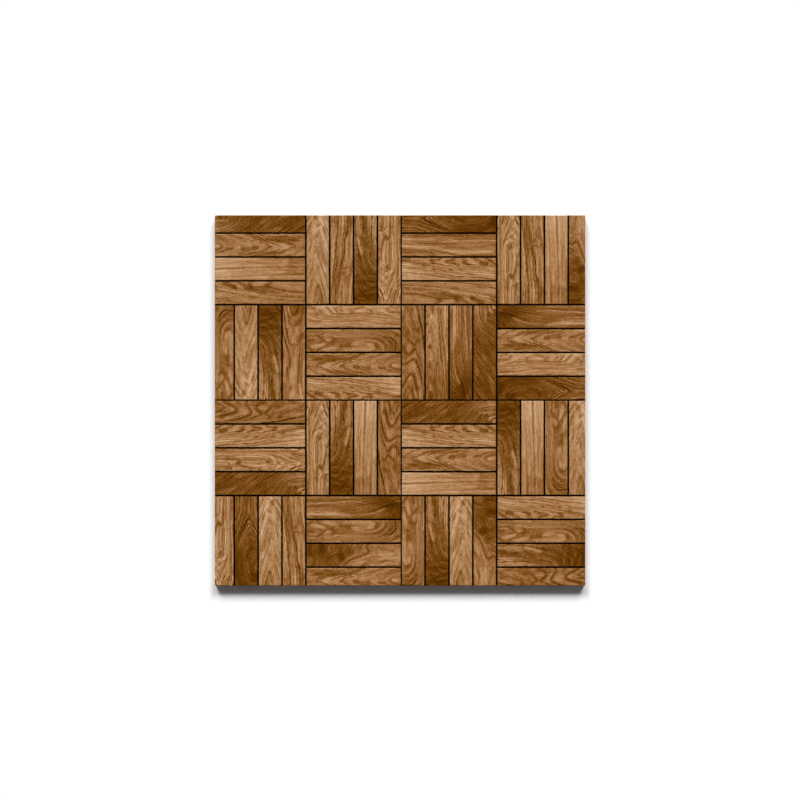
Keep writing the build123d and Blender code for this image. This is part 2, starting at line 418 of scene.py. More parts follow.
        (98, 2, (4, 18.6), (14, 18.4)), (92, 5, (2, 22), (20, 23)), (66, 2.4, (21, 9.6), (25, 8.4)),
        (64, 2.2, (25, 11), (33, 15), (40, 19.4), (50, 21)), (90, 3, (30, 4), (34, 2)),
        (112, 2.6, (26, 9.6), (33, 8.8), (37, 4.6), (43, 0.6)), (114, 2.6, (29, 9.8), (32, 9.4)),
        (100, 2.2, (30, 10.8), (36, 13), (42, 17), (48, 19.4)), (84, 7, (38, 9), (44, 5)),
        (62, 5, (47, 7.5), (54, 9)), (84, 3, (45, 12), (52, 15)), (66, 3.4, (49, 2), (50, 6)),
        (78, 4, (54, 2), (55, 5)), (74, 3, (60, 12), (72, 14.6), (86, 13)), (84, 3, (67, 2), (69, 4.5)),
        (88, 2.4, (76, 1.6), (78, 1.6)), (60, 2.6, (71, 3), (73, 6), (81, 5.6)),
        (62, 4, (56, 5), (60, 10), (70, 11)), (54, 9, (85, 6), (89, 2)), (56, 8, (99, 8), (97, 18)),
        (72, 1.8, (93.5, 1), (93, 7), (88, 12.6), (80, 16)), (62, 7, (58, 21), (90, 21)),
        (70, 5, (88, 24), (102, 22)),
    ]),
    "ribbons": dict(ends=(112, 108), vivid=0.8, rings=[
        (1, (0, 2.5), (18, 3.5), (60, 3.6), (102, 3.4)), (2, (0, 5), (40, 6.2), (102, 5.8)),
        (3, (0, 10.3), (40, 11.2), (102, 10.8)), (4, (0, 12.2), (40, 12.8), (102, 13)),
        (5, (0, 16), (20, 16.2), (31, 16.9), (37, 18.5), (44, 20.5), (52, 22.6), (60, 23.6), (80, 23.8),
         (102, 24)),
        (4.5, (56, 18), (80, 17.4), (102, 17)),
        (6, (0, 17.8), (12, 18.5), (25, 18.9), (31, 20.1), (37, 21.4), (48, 24.5)),
        (7, (0, 21), (20, 22), (32, 24.5)),
    ], strokes=[
        (94, 4.5, (16, 1.8), (60, 2.2), (102, 2)), (132, 4.5, (2, 6.4), (10, 6)),
        (126, 2.2, (10, 6.8), (34, 6.6), (44, 8), (60, 8.8)), (132, 1.6, (64, 9), (84, 8.8), (101, 7.6)),
        (96, 3.4, (13, 9.6), (40, 11), (60, 11.6)), (94, 2.5, (56, 5.5), (101, 5.6)),
        (96, 5, (84, 12), (101, 12)), (112, 2, (60, 13.4), (96, 12.6)),
        (110, 2.4, (44, 15), (72, 16.2), (98, 15)), (148, 3, (0, 13.8), (16, 14.6), (30, 15.8), (40, 17.6)),
        (144, 3.6, (40, 17.8), (52, 20), (64, 21), (82, 20.4), (98, 18.8)),
        (90, 1.6, (2, 17.6), (10, 17.8)), (86, 1.6, (12, 18.8), (26, 18.8), (35, 20.8)),
        (88, 1.6, (31, 17), (42, 19.4), (54, 22), (61, 23.4)), (134, 2.4, (8, 21.2), (30, 22)),
        (94, 1.8, (4, 21), (14, 22)), (138, 2, (36, 23.6), (56, 24.8)), (118, 3, (2, 24), (24, 24)),
        (90, 2.6, (62, 24), (80, 23.8), (100, 24.4)), (96, 2, (98, 21), (102, 21)),
    ]),
    "top_hooks": dict(ends=(134, 120), rings=[
        (2.4, (0, 22.5), (30, 24)), (2.7, (0, 18.5), (30, 20.5), (60, 23)),
        (3.2, (0, 14.5), (16.8, 15.6), (41, 18.3), (70, 20.6), (102, 23)),
        (4, (0, 11.5), (20, 12.2), (37, 14.5), (46.3, 16), (75, 18.3), (102, 20.5)),
        (5, (0, 9), (26, 11.2), (47.7, 13.5), (60, 14.8), (80, 16.2), (102, 18)),
        (6, (0, 6.5), (15.4, 7.6), (37, 10.3), (53.7, 12.4), (75, 14), (102, 15.6)),
        (7, (0, 3.5), (12, 3.8), (22, 6), (36, 8.2), (52, 10.2), (70, 11.7), (88, 13), (102, 13.7)),
        (8, (42, 1.2), (31.5, 3.9), (35.6, 7), (50, 8.8), (66, 10), (84, 11.4), (102, 12.3)),
        (9, (57, 1.2), (48, 4.8), (50.5, 6.9), (60, 8.4), (76, 9.6), (92, 11), (102, 11.4)),
        (10, (65, 1), (68, 4), (66, 6), (70, 7.8), (80, 8.6), (92, 9.8), (102, 10.4)),
        (11, (77, 1), (82, 4.2), (90, 5.8), (88.6, 8), (95, 9), (102, 9.6)),
        (12, (88, 1), (93.3, 3.2), (96.5, 5.2), (102, 8.2)),
    ], strokes=[
        (148, 8, (2, 14), (14, 19)), (152, 4, (2, 7), (10, 8)), (94, 3.6, (2, 3.6), (9, 3.4)),
        (100, 2, (9, 4.6), (20, 6.6), (36, 8)), (122, 5, (16, 2.6), (26, 3)),
        (132, 2, (28, 6.6), (40, 8.6)), (88, 2.4, (41.5, 1.4), (39, 3.2), (31, 3.6), (36, 6.6)),
        (136, 3, (43, 4.5), (46, 3)), (84, 2.6, (56.5, 1), (55, 4), (49, 5)), (82, 2, (54, 6), (62, 8.4)),
        (80, 2.4, (47, 4.4), (52, 5.6)), (88, 2.2, (66, 1.6), (68.6, 4.6), (65.5, 6), (74, 9)),
        (124, 3, (60, 3), (62, 6)), (136, 3, (72, 3), (84, 8.4), (96, 12.6)),
        (88, 2.2, (77, 1.2), (84, 4), (91, 6)), (76, 4, (85, 7), (91.5, 6)), (78, 2.6, (90, 9), (92, 7)),
        (84, 2, (89, 1.4), (95, 3.4), (101, 7.6)), (136, 2, (84, 1.6), (92, 4)),
        (146, 2, (96, 13), (102, 13)), (92, 2.2, (51, 13.6), (55, 14.4)), (96, 1.8, (23, 11), (27, 11.2)),
        (98, 1.8, (33, 12.4), (37, 13.8)), (98, 1.8, (61, 13), (67, 14.2)), (102, 2, (22, 10), (28, 11.4)),
        (104, 2, (40, 12.6), (48, 15)), (100, 2, (70, 18), (78, 19.6)), (108, 2, (70, 9.6), (84, 11.6)),
        (148, 2.5, (2, 22), (18, 22.4)), (142, 2, (2, 24.5), (60, 24.5)), (138, 4, (80, 16), (98, 19)),
    ]),
    "dark_half": dict(ends=(88, 126), rings_shown=0.6, vivid=0.8, rings=[
        (-4, (102, 24), (94, 25.5)), (-2.5, (102, 19), (88, 21), (80, 25)),
        (-1, (84, 0), (90, 4), (102, 7)), (-1, (102, 15), (85, 16.5), (72, 20.5), (66, 25)),
        (0.5, (77, 0), (78, 5), (90, 10.5), (76, 15), (62, 20.5), (56, 25)),
        (3, (66.5, 0), (64, 4), (68.5, 9), (58, 14), (47, 18), (40, 25)),
        (5, (61, 0), (58.5, 5), (61, 9), (50, 14), (41, 19), (35, 25)),
        (9, (50, 0), (47, 8), (38, 15), (28, 25)), (14, (36, 0), (33, 8), (24, 14), (20, 25)),
        (18, (20, 0), (19, 8), (15, 16), (14, 25)), (23, (8, 0), (6, 8), (8, 16), (3, 25)), (25, (0, 10)),
    ], strokes=[
        (68, 22, (8, 8), (36, 8)), (84, 7, (4, 20), (12, 23)), (76, 9, (24, 19), (32, 23)),
        (82, 3, (9, 2), (7.5, 8), (9, 12), (13, 16)), (60, 5, (4, 3), (4, 12)), (50, 5.5, (17, 2), (18, 9)),
        (66, 3, (22, 13), (19, 22)), (92, 3.2, (24.5, 4), (26, 2), (30, 4), (29, 8), (25.5, 8), (24.5, 4)),
        (66, 2.4, (27, 5.6), (27.6, 6)), (88, 3, (30, 2), (34, 6), (30, 10), (27, 11)),
        (64, 2.6, (36, 3), (36, 8)), (86, 3, (40, 2), (42, 6), (40, 10)), (64, 2.4, (45, 2), (45, 7)),
        (84, 3.4, (50, 3), (50, 9)), (52, 8, (38, 13), (38, 17)), (70, 5, (44, 10), (50, 10)),
        (94, 4, (55, 2), (56, 8)), (84, 4, (60, 1), (58, 8)), (116, 2.6, (62.5, 2), (60.8, 5), (62, 8)),
        (122, 3.6, (61.5, 8), (64, 9.6)), (104, 2, (62, 11), (54, 14), (46, 16.6), (42, 21)),
        (74, 2.2, (67, 1), (64.6, 4), (68, 8.4), (66, 10.6), (57, 14), (47, 18), (40, 23)),
        (116, 7, (74, 4), (100, 4)), (128, 6, (74, 14), (100, 16)),
        (132, 3, (52, 21), (62, 16.4), (76, 12.6), (92, 12)),
        (100, 2, (48, 23), (58, 18.5), (70, 14.8), (80, 14.4)), (124, 5, (48, 24), (60, 20)),
        (102, 1.8, (60, 24), (72, 20), (84, 19), (96, 20)), (132, 3, (70, 24), (86, 21.6), (100, 22.6)),
        (104, 1.8, (84, 24.4), (96, 24)),
    ]),
    "round_arcs": dict(ends=(106, 100), vivid=0.8, rings=[
        (1, (50, 23), (47, 18.5), (50, 15.2), (63.8, 14.5), (70.5, 15.1), (74.5, 17.8), (74.8, 23.5)),
        (2, (33, 24.5), (36.5, 20.5), (35.6, 17), (38, 13), (45, 11.5), (59.7, 11.2), (73.2, 11.2),
         (79.2, 13.1), (83.9, 16.5), (85.9, 20.5), (84.6, 24.5)),
        (3, (14.8, 24.3), (14, 20.5), (24.2, 17.8), (28.9, 13.8), (30.2, 11.2), (28, 9.4), (40, 9),
         (56.4, 8.5), (73, 7.8), (80.5, 9.8), (87.2, 14.5), (89.3, 18.5), (87.9, 24.4)),
        (4, (0, 18.2), (9.4, 16.5), (20.8, 14.5), (18.8, 12.5), (15, 9.6), (22, 7.2), (40, 6.6), (60, 6),
         (79.9, 6.9), (88.6, 11.2), (92.6, 15.8), (92.6, 24.4)),
        (5, (0, 14), (7.4, 13), (2, 9.5), (10, 6.5), (30, 4.8), (60, 3.8), (76.5, 4.5), (86.6, 7.2),
         (93.3, 11.8), (96.6, 17.1), (96.5, 24.5)),
        (6, (0, 4.5), (15, 3.5), (40, 2.2), (70, 1.8), (79.9, 3), (91.9, 5.8), (100, 10.5), (102, 14)),
        (7, (40, 0.2), (75, 0.4), (88.6, 2.3), (102, 5.8)), (4, (3.4, 19.8), (6.7, 22.4), (10, 24.8)),
    ], strokes=[
        (128, 2.6, (20, 1.8), (36, 2.2)), (96, 2.2, (2, 3.8), (14, 4.2)), (122, 2.4, (2, 6), (16, 5.6)),
        (122, 3.4, (20, 6.4), (44, 5.6), (66, 5)), (80, 2.2, (0, 7.8), (6, 8)),
        (122, 3, (4, 9.6), (12, 9.6)), (80, 2.8, (0, 12.6), (8, 12.2)), (74, 2.8, (13.5, 8.4), (15.5, 10)),
        (84, 2.2, (16, 10.5), (20.5, 12.8), (12, 15.5), (2, 16.6)),
        (78, 2.6, (27.5, 8.6), (30.5, 11), (28.5, 14), (21, 18), (14, 20.4), (13, 24.5)),
        (124, 3, (20, 10), (25, 13)), (132, 3.4, (5, 19.6), (16, 18), (19, 16.6)),
        (128, 5, (18, 22), (32, 21)), (84, 2.2, (1, 19.5), (6, 22.5), (10, 25)),
        (100, 3, (33, 23), (38, 19)), (110, 3.4, (38, 8), (56, 8.6)), (94, 3, (40, 13), (60, 13.6)),
        (76, 4.4, (37, 18.2), (47, 18.2)), (94, 4, (38, 15.4), (48, 15.8)), (130, 5, (51, 16), (60, 15)),
        (128, 4, (40, 22.4), (70, 23)), (128, 6, (66, 17), (73, 20)), (108, 3, (57, 18.6), (65, 19)),
        (112, 2.4, (58, 11), (70, 11.4), (80, 15)), (88, 2.6, (72, 9.4), (80, 12), (84, 17)),
        (76, 3.6, (75.5, 17), (76.5, 21)), (106, 3.4, (82, 18), (82, 24)),
        (84, 3, (77, 7), (88, 12), (91, 18), (89, 24)), (122, 1.8, (70, 5.6), (84, 8), (93, 13), (97, 19)),
        (86, 2.4, (87, 17), (86, 24)), (76, 2, (84, 7), (94, 12), (99, 19)),
        (118, 1.6, (85, 4), (96, 9), (101, 13.6)), (88, 5, (96, 20), (99, 23)), (96, 4, (74, 2.6), (88, 4)),
        (86, 3, (92, 3.6), (100, 7)), (126, 2.6, (92, 1), (101, 3)),
    ]),
    "left_eye": dict(ends=(106, 120), rings=[
        (0, (1, 12.5), (5, 13)), (1, (0, 7), (6, 8.8), (10.7, 11.5), (10.7, 14.1), (6, 16.8), (0, 17.8)),
        (2, (0, 2), (10, 3), (16, 5.5), (19, 9), (22.1, 12.2), (22.8, 14.8), (19.5, 17.5), (6, 20),
         (0, 20.8)),
        (3, (18, 1), (31, 3.5), (35.6, 6.2), (39.6, 8.8), (42.6, 11.5), (42.3, 16.1), (37, 18.8),
         (19.5, 21.8), (0, 23.8)),
        (4, (30, 1), (37, 4), (43, 7), (60, 8.2), (75, 8.6), (90, 8.4), (102, 5.5)),
        (4, (26, 24.5), (44, 20.6), (70, 20.3), (102, 20.8)), (3.5, (52, 12.5), (70, 12.8), (102, 12)),
        (3.8, (54, 17), (67, 16.8), (88, 16.3), (102, 16.8)),
        (5, (42, 1), (52, 3.6), (70, 4.4), (90, 4.8), (102, 2.2)), (5, (46, 24.6), (102, 24.3)),
        (6, (60, 0.2), (90, 0.6)),
    ], strokes=[
        (82, 12, (3, 5), (8, 8)), (76, 2.6, (2, 3), (9, 3.4)),
        (70, 3, (1, 9), (7, 9.6), (10, 13), (7, 16), (1, 16)), (92, 2.2, (4, 13), (7, 14)),
        (74, 3, (1, 11.4), (3, 12)), (92, 5, (14, 5), (20, 9)), (112, 3, (15, 13), (18, 16)),
        (84, 2.4, (16, 3.6), (21, 6), (23, 11), (21, 15)), (100, 3, (24, 4.6), (30, 7)),
        (66, 3.6, (31, 3.4), (35.5, 5.4)), (78, 3.2, (35, 5), (40, 8.6)), (128, 3.6, (24, 10), (32, 9.4)),
        (130, 4, (35, 13), (40, 14)), (92, 2, (33, 8.4), (35, 9.4)), (92, 2.4, (42, 11), (43, 16)),
        (124, 3, (24, 15), (34, 18)), (122, 1.8, (16, 1.6), (58, 1.6)),
        (148, 2.4, (60, 1.6), (76, 3), (92, 2.4)), (96, 5, (42, 5), (60, 5.4), (84, 5.6)),
        (68, 3, (59, 8), (72, 8)), (86, 2.4, (54, 8.6), (84, 8.8), (96, 7.6)), (80, 1.8, (74, 5), (98, 4)),
        (138, 2.2, (84, 7), (94, 5.4), (102, 3.6)), (132, 3, (48, 11), (84, 11.4)),
        (96, 1.8, (45, 13), (56, 12.6)), (134, 4, (70, 15), (84, 15)), (82, 1.8, (57, 16.8), (67, 16.9)),
        (86, 2.2, (87.6, 15.8), (90, 16.6)), (144, 4, (93, 13.6), (99, 16)), (126, 4, (4, 19), (10, 18.6)),
        (104, 2, (30, 20.6), (60, 20.4), (100, 20.8)), (130, 2.6, (56, 22.6), (70, 22.4)),
        (96, 2.4, (84, 23), (101, 21.6)),
    ]),
    "fine_swirls": dict(ends=(132, 128), vivid=0.75, rings=[
        (0, (90, 2.5), (102, 4.5)), (1, (41.5, 5.8), (46, 5.8)),
        (1, (78, 1), (82, 3), (86, 5.4), (91, 7.9), (102, 8)),
        (2, (38, 2), (37.6, 6), (41, 8), (47, 7.6), (50, 5.5), (57.7, 3.6), (62, 3.4), (66.4, 5.2),
         (72, 7.8), (85, 9.6), (102, 10.2)),
        (3, (28, 1), (31.5, 4.5), (35, 8.4), (41, 9.6), (52, 9.2), (66, 9.2), (80, 11), (102, 12.6)),
        (4, (19, 1), (22, 3.2), (26, 7.2), (29.5, 10.2), (36, 11.6), (50, 11.3), (66, 11.6), (85, 14),
         (102, 15.4)),
        (5, (4, 1), (8, 5), (12, 9), (20, 12.6), (40, 13.4), (66, 14), (85, 17), (102, 18.4)),
        (6, (0, 9), (6, 12), (18, 15), (34, 15.6), (50, 15.4), (63, 15.9), (80, 19.3), (102, 21)),
        (7, (0, 14.5), (20, 18), (40, 18), (54, 18.2), (75, 21), (102, 23.2)),
        (8, (0, 18.5), (30, 20.8), (60, 21.4), (90, 24)), (9, (0, 22.5), (40, 23.8), (60, 24.6)),
    ], strokes=[
        (148, 4, (2, 7), (9, 7)), (148, 2.2, (2, 10), (8, 13)), (108, 3, (2, 3), (10, 4)),
        (156, 2.6, (12, 3.6), (20, 2)), (100, 3, (14, 5.4), (17.5, 9)), (94, 2.4, (9, 8.6), (12.5, 11)),
        (108, 1.8, (5, 9), (8, 12)), (150, 2.2, (19, 5), (23, 8), (26, 11.2)),
        (156, 2.2, (25, 2.6), (28, 5), (31, 8.4), (34, 11)), (100, 1.7, (22.4, 3.6), (26, 7), (29.4, 10.8)),
        (112, 2.6, (31, 3), (33, 6.6)), (106, 1.8, (30, 9.6), (37, 11)), (164, 1.6, (12, 1), (36, 1)),
        (112, 2, (38, 3.6), (37.4, 7)), (146, 2.6, (41, 7), (45, 6.6)), (138, 2.5, (38, 4), (45, 3.6)),
        (102, 3, (46.6, 6), (51, 7.6)), (106, 1.8, (34, 9.6), (50, 9.4), (70, 9.4)),
        (148, 3, (54, 7), (62, 6.6)), (110, 2, (52, 5), (60, 2)), (142, 2.4, (64, 2.6), (76, 1.8)),
        (112, 2.4, (68, 5), (71, 7.6)), (148, 2.6, (76, 4), (83, 6.4), (90, 9.4), (99, 12)),
        (100, 2.4, (86.5, 3), (88, 6)), (102, 2, (90, 7.8), (101, 8)), (128, 4, (92, 4), (100, 5)),
        (114, 1.8, (16, 15.4), (46, 15.4)), (110, 1.8, (60, 15), (74, 16.6)),
        (108, 2.4, (48, 18.4), (57, 18.4)), (146, 3, (18, 18.6), (26, 18.6)), (114, 3, (2, 18), (16, 19)),
        (138, 4, (70, 17), (90, 16)), (144, 2.4, (2, 22), (18, 22.4)), (140, 2.6, (50, 23), (98, 23.4)),
        (110, 1.8, (84, 20.4), (100, 20.6)), (150, 2, (76, 1.2), (90, 1)),
    ]),
    "horseshoes": dict(ends=(104, 108), rings=[
        (-1, (0, 4.5), (15, 2.8), (30, 1)),
        (0, (0, 8.8), (7.4, 6.8), (12.8, 5.8), (19.5, 4.4), (30, 2.6), (45, 1.2)),
        (1, (21.5, 24.5), (12.8, 22.4), (6, 20.8), (1.3, 18.3), (4, 16.1), (11.4, 15.3), (16.8, 12.8),
         (21.5, 11.2), (27, 9.5), (28, 7.6), (33, 5.4), (45, 3.4), (60, 1.6)),
        (2, (30, 24.5), (27, 21.8), (34.2, 19.3), (36.9, 16.8), (40.9, 13.7), (43.3, 11.5), (39.6, 9.3),
         (39, 7.4), (46, 5.6), (60, 3.4), (80, 1.2)),
        (3, (45, 24.8), (46.3, 21.9), (52.3, 19.5), (52.3, 16.8), (49, 14.1), (47.7, 11.5), (50, 9),
         (59.7, 6.4), (68, 4.2), (85, 2.4), (102, 1.5)),
        (4, (64, 24.8), (65, 22), (64.4, 19.5), (60.4, 16.8), (59, 13.8), (59.7, 11), (66.4, 8.2),
         (75.2, 5.6), (86.6, 4.4), (102, 4.2)),
        (5, (88, 24.6), (81.9, 21.4), (76.5, 18.8), (73.2, 15.5), (74.2, 13.3), (79.9, 11.5), (92, 10.4),
         (102, 7.8)),
        (6, (98, 24.8), (94.6, 22.1), (88.6, 18.8), (86.6, 16.1), (89.9, 14.6), (102, 12.6)),
        (7, (102, 19.5), (97, 18.3), (102, 17)),
    ], strokes=[
        (98, 4, (2, 2.5), (30, 2)), (116, 3, (2, 12), (8, 10.5), (18, 9.4)),
        (84, 1.8, (2, 8), (12, 6), (24, 4.8)), (110, 1.6, (2, 5), (20, 3.6)),
        (82, 2.2, (3, 19), (8, 15.6), (15, 14.6), (22, 11.8)), (84, 2, (3, 20.4), (9, 22), (18, 24)),
        (118, 6, (10, 19), (22, 17)), (146, 2.4, (1, 23.6), (10, 24.8)), (74, 3.6, (25.5, 8.6), (29, 6.8)),
        (98, 3, (30, 5.6), (44, 3.4)), (86, 4, (26, 12), (35, 11)), (112, 4, (22, 17), (34, 15)),
        (78, 4.4, (28, 21), (37, 18.8)), (76, 2.6, (39.5, 7), (37, 9)),
        (74, 2, (38, 9), (43, 11.6), (40, 15), (37, 17.6)), (72, 2.6, (47.6, 9.6), (47.4, 12.6)),
        (80, 2, (48, 13), (52, 15.4), (54.4, 18)), (74, 3.6, (53, 19), (50, 21.6), (44, 22.8)),
        (118, 5, (43, 17), (49, 17.6)), (114, 3.6, (52, 9), (55, 12)), (102, 3, (40, 23.6), (34, 24)),
        (78, 2.4, (62, 8), (58.6, 10.4), (59, 14), (61, 17.6), (64.4, 20.6), (63.6, 23.6)),
        (82, 2, (62, 8), (72, 5.2), (86, 3.6)), (118, 3, (55, 17), (60, 20)), (122, 8, (65, 12), (69, 15)),
        (114, 2.2, (72, 8), (84, 6), (101, 4.4)), (62, 2.8, (94, 8), (84, 10.6), (77, 12), (73.6, 14.4)),
        (66, 2.6, (73.6, 15.6), (78, 19.4), (84, 22), (88, 24)), (124, 4.4, (78, 15.6), (84, 15.6)),
        (70, 4, (88, 8), (92, 8.6)), (112, 3, (92, 10.4), (101, 9)),
        (82, 2.4, (101, 13), (92, 15), (88.6, 17), (92, 19.4), (98, 23)), (130, 3.4, (92, 18), (101, 16.6)),
        (92, 4, (99, 22), (101, 20)), (80, 2.4, (101, 7.6), (101, 9)), (118, 3, (76, 22), (80, 24)),
        (100, 3, (66, 22), (74, 23.4)),
    ]),
    "low_flames": dict(ends=(132, 94), rings=[
        (1, (102, 22), (94, 19.5), (102, 17.5)),
        (2, (90, 24.5), (80, 21.5), (83, 18.2), (92, 15.8), (102, 14.8)),
        (3, (76, 24.5), (64, 21.6), (68, 18.2), (80, 15.4), (102, 12.4)),
        (4, (56, 24.5), (44.5, 21.8), (44.5, 19), (50, 17.2), (62, 14.4), (80, 12.6), (102, 10)),
        (5, (38, 24.6), (29, 22), (27, 19.5), (36, 17.2), (44, 14), (60, 12), (80, 9.8), (102, 7.6)),
        (6, (24, 24.5), (18, 21.5), (20, 18), (30, 15), (42, 12), (60, 9.6), (80, 7.4), (102, 5.4)),
        (7, (8, 24.8), (4, 20), (2, 17.2), (9, 16.8), (20, 13.4), (40, 10.2), (60, 7.4), (80, 5),
         (102, 3.2)),
        (8, (0, 13.2), (14, 11.4), (24, 10.2), (48, 6.6), (63, 4.2), (83, 2.4), (102, 1)),
        (9, (0, 9.4), (13, 8.6), (30, 7), (48, 4), (62, 1.8)), (10, (0, 5.5), (20, 4.8), (40, 2)),
    ], strokes=[
        (140, 3, (2, 3), (24, 3)), (112, 1.8, (2, 6.4), (34, 6)), (112, 2, (33.5, 2.4), (34.5, 3)),
        (140, 2, (52, 2), (62, 1.2)), (98, 3, (44, 6), (60, 4), (84, 2.6)), (90, 3, (72, 2), (100, 1.4)),
        (108, 2, (2, 10.6), (20, 10)), (100, 2, (19, 11), (34, 8.6)), (124, 3, (50, 7), (74, 5)),
        (106, 3, (48, 8.6), (60, 8)), (136, 3, (4, 14), (24, 12.6), (34, 11)),
        (94, 3.6, (2, 17.4), (9, 17.6)), (148, 3, (11, 18.6), (20, 20.4)), (104, 2.4, (22, 19), (30, 18.4)),
        (138, 2.4, (22, 17), (40, 14), (52, 12.4)), (140, 4, (31, 21.6), (39, 20)),
        (112, 3, (10, 22), (24, 24)), (74, 2.8, (45.5, 18.4), (44, 20.4), (46, 22.4)),
        (126, 3.4, (50, 20), (58, 19.4)), (88, 3, (62, 12.6), (66, 14)), (78, 2.6, (61, 21), (66, 20.6)),
        (104, 4, (68, 18), (76, 17)), (86, 3, (78, 21), (84, 17.4)), (82, 3.4, (78, 15.4), (96, 13)),
        (108, 3, (84, 19.4), (93, 18.6)), (72, 4, (95, 20), (102, 19.6)), (84, 4, (92, 11), (101, 13)),
        (92, 3, (80, 6.6), (101, 6)), (108, 2.4, (84, 9.4), (92, 8)), (128, 1.8, (2, 24.2), (100, 24.4)),
        (92, 2, (60, 23), (100, 22.6)),
    ]),
    "long_bands": dict(ends=(110, 64), vivid=0.9, rings_shown=0.6, rings=[
        (0, (0, 1.5), (45, 1.5), (75, 0)), (3, (0, 8.5), (40, 7.5), (60, 5.5), (85, 2), (100, 0)),
        (6, (0, 14), (50, 13.5), (70, 10.5), (102, 4)),
        (9, (0, 19.5), (50, 20), (70, 18.5), (84, 13.5), (102, 8)),
        (11, (0, 24), (50, 24), (75, 22), (90, 15), (102, 11)),
        (13, (60, 25.5), (82, 24), (93, 16), (102, 13.5)), (16, (92, 25), (96, 19), (102, 16)),
    ], strokes=[
        (130, 2, (2, 1.6), (46, 1.6)), (90, 4, (2, 4.4), (44, 4.4)), (98, 3, (46, 3), (58, 3)),
        (134, 2, (2, 9), (20, 8.6), (40, 7.4), (54, 6.8), (68, 4.8)), (78, 1.8, (2, 10.8), (30, 10.6)),
        (94, 4, (30, 12), (60, 11)), (114, 2.4, (2, 14.6), (40, 15)), (84, 1.6, (6, 16.4), (30, 16)),
        (106, 3, (54, 14.6), (64, 14)), (144, 4.8, (2, 19.4), (34, 19)), (134, 3, (34, 20), (50, 20.8)),
        (82, 3, (6, 22.8), (26, 23.4)), (80, 3, (44, 18.6), (54, 18.8)), (92, 3, (34, 16.4), (50, 16.6)),
        (86, 12, (64, 9), (72, 7)), (74, 12, (74, 9), (82, 6)), (60, 14, (84, 9), (96, 7)),
        (56, 13, (95, 11), (98, 18)), (50, 4, (84, 12), (98, 9)), (74, 4, (88, 2), (101, 2)),
        (84, 2, (96, 6), (101, 5)), (112, 2, (54, 21), (66, 20.4), (76, 18)),
        (108, 2.4, (76, 18), (80, 16.4), (84, 14)), (72, 3, (68, 16.6), (76, 14.8)),
        (84, 3, (54, 23.4), (66, 23.6)), (98, 2.4, (72, 23), (80, 21)), (82, 5, (82, 21), (88, 20)),
        (76, 1.8, (91, 24), (92.4, 18), (96, 14)), (74, 1.8, (96, 24), (98, 17)),
        (54, 2.4, (95, 20), (94, 24)), (88, 3, (58, 9.6), (70, 8)), (96, 2, (62, 12.6), (74, 12)),
    ]),
}


def thin_plate(points, values, spots):
    """A smooth surface led by values at points, read at spots. Across counts twice as far."""
    stretch = np.array((0.5, 1.0))
    looseness = 1.5

    def bending(a, b):
        apart = ((a[:, None] * stretch - b[None] * stretch) ** 2).sum(-1)
        return apart * np.log(apart + 1e-6)

    flat = np.column_stack((np.ones(len(points)), points))
    size = len(points)
    system = np.zeros((size + 3, size + 3))
    system[:size, :size] = bending(points, points) - looseness * np.eye(size)
    system[:size, size:] = flat
    system[size:, :size] = flat.T
    weights = np.linalg.solve(system, np.concatenate((values, np.zeros(3))))
    return bending(spots, points) @ weights[:size] + weights[size] + spots @ weights[size + 1:]


def ring_numbers(board, spots):
    """Which growth ring each spot lies on. Between two drawn rings the number rises smoothly."""
    points = np.array([point for ring in board["rings"] for point in ring[1:]], float)
    values = np.array([ring[0] for ring in board["rings"] for point in ring[1:]], float)
    return thin_plate(points, values, spots)


def nearest_on_line(points, spots):
    """How far each spot lies from the line, and how far along the line that is, from 0 to 1."""
    nearest = np.full(len(spots), 1e9)
    share = np.zeros(len(spots))
    points = np.array(points, float)
    lengths = np.linalg.norm(np.diff(points, axis=0), axis=1)
    starts = np.concatenate(((0,), np.cumsum(lengths)))
    for start, length, a, b in zip(starts, lengths, points[:-1], points[1:]):
        along = np.clip((spots - a) @ (b - a) / length ** 2, 0, 1)
        apart = np.linalg.norm(spots - a - along[:, None] * (b - a), axis=1)
        nearer = apart < nearest
        nearest[nearer] = apart[nearer]
        share[nearer] = (start + along * length)[nearer] / starts[-1]
    return nearest, share


def brightness(board, spots):
    """The board's own shade from end to end, with its strokes laid over it one after another."""
    first_end, last_end = board["ends"]
    level = first_end + (last_end - first_end) * spots[:, 0] / board_length
    width_at_tips = 0.75
    swell = 0.4
    softness = 0.7
    for shade_of_stroke, full_width, *path in board["strokes"]:
        apart, share = nearest_on_line(path, spots)
        width = full_width * (width_at_tips + swell * np.sin(share * np.pi))
        cover = np.exp(-softness * (2 * apart / width) ** 3)
        level = level + (shade_of_stroke - level) * cover
    return level


